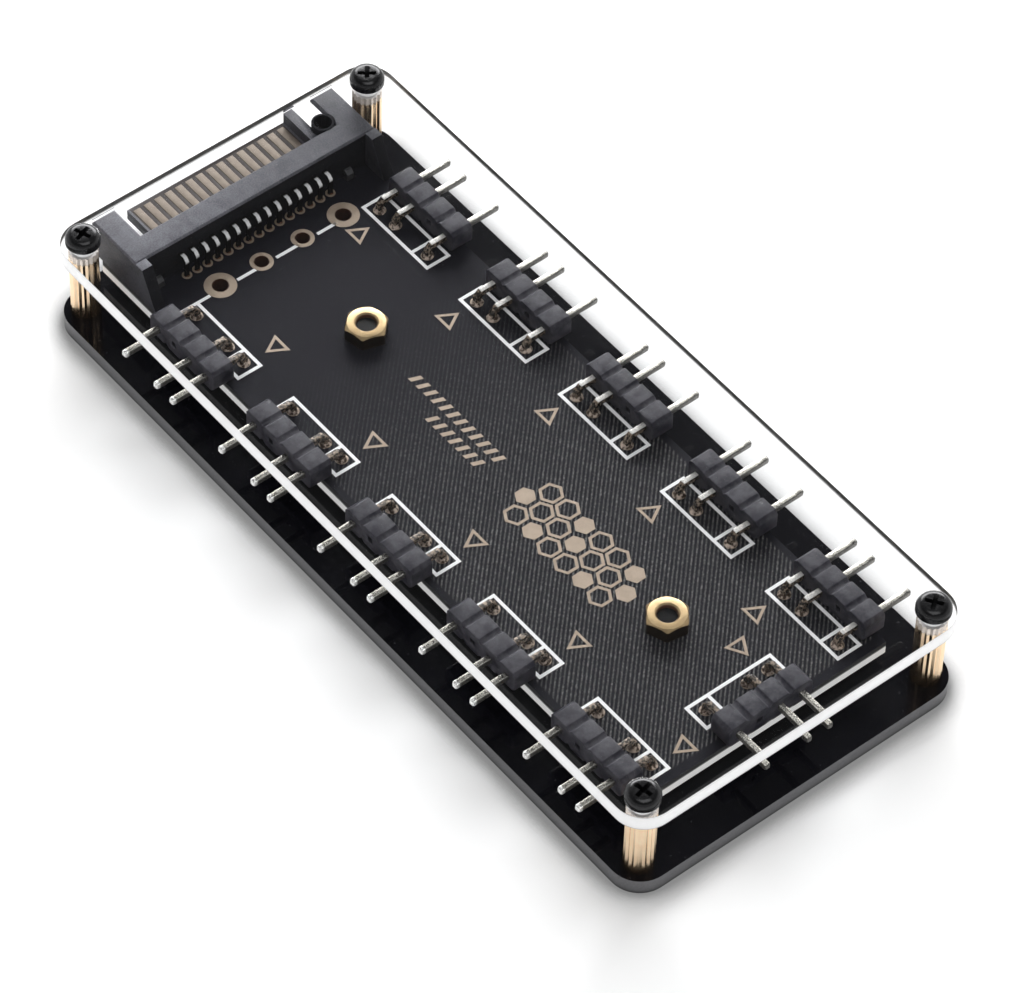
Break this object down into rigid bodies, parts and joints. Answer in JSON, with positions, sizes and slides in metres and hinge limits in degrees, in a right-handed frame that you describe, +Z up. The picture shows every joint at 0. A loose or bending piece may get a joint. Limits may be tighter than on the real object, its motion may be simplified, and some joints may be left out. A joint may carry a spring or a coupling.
{
  "type": "fan lighting hub",
  "caption": "Small hub that shares power and lighting signal among case fans: a board of bent pin headers and an edge power connector between two acrylic plates on knurled standoffs.",
  "frame": {"origin": "centre of the base plate's underside", "axes": "+X along the hub from the power connector to the front header, +Y across it, +Z up"},
  "size_m": [0.0911, 0.0404, 0.0129],
  "materials": {
    "base_acrylic": "polished black sheet",
    "cover_acrylic": "clear polished sheet",
    "board_black": "solder mask over glass laminate",
    "standoff_brass": "knurled",
    "screw_black": "black oxide",
    "nut_brass": "plain",
    "spacer_nylon": "matt",
    "header_plastic": "fine matt moulding",
    "pin_gold": "gold plated",
    "socket_plastic": "satin moulding",
    "contact_gold": "gold plated",
    "lock_tin": "tinned"
  },
  "bodies": {
    "root": {"base_plate": "base_acrylic", "base_screws": "screw_black", "board_locks": "lock_tin", "board_nuts": "nut_brass", "board_screws": "screw_black", "board_spacers": "spacer_nylon", "circuit_board": "board_black", "cover_plate": "cover_acrylic", "cover_screws": "screw_black", "header_housing_front": "header_plastic", "header_housing_left_1": "header_plastic", "header_housing_left_2": "header_plastic", "header_housing_left_3": "header_plastic", "header_housing_left_4": "header_plastic", "header_housing_left_5": "header_plastic", "header_housing_right_1": "header_plastic", "header_housing_right_2": "header_plastic", "header_housing_right_3": "header_plastic", "header_housing_right_4": "header_plastic", "header_housing_right_5": "header_plastic", "header_pins_front": "pin_gold", "header_pins_left_1": "pin_gold", "header_pins_left_2": "pin_gold", "header_pins_left_3": "pin_gold", "header_pins_left_4": "pin_gold", "header_pins_left_5": "pin_gold", "header_pins_right_1": "pin_gold", "header_pins_right_2": "pin_gold", "header_pins_right_3": "pin_gold", "header_pins_right_4": "pin_gold", "header_pins_right_5": "pin_gold", "power_contacts": "contact_gold", "power_housing": "socket_plastic", "standoff_front_left": "standoff_brass", "standoff_front_right": "standoff_brass", "standoff_rear_left": "standoff_brass", "standoff_rear_right": "standoff_brass"}
  },
  "joints": []
}
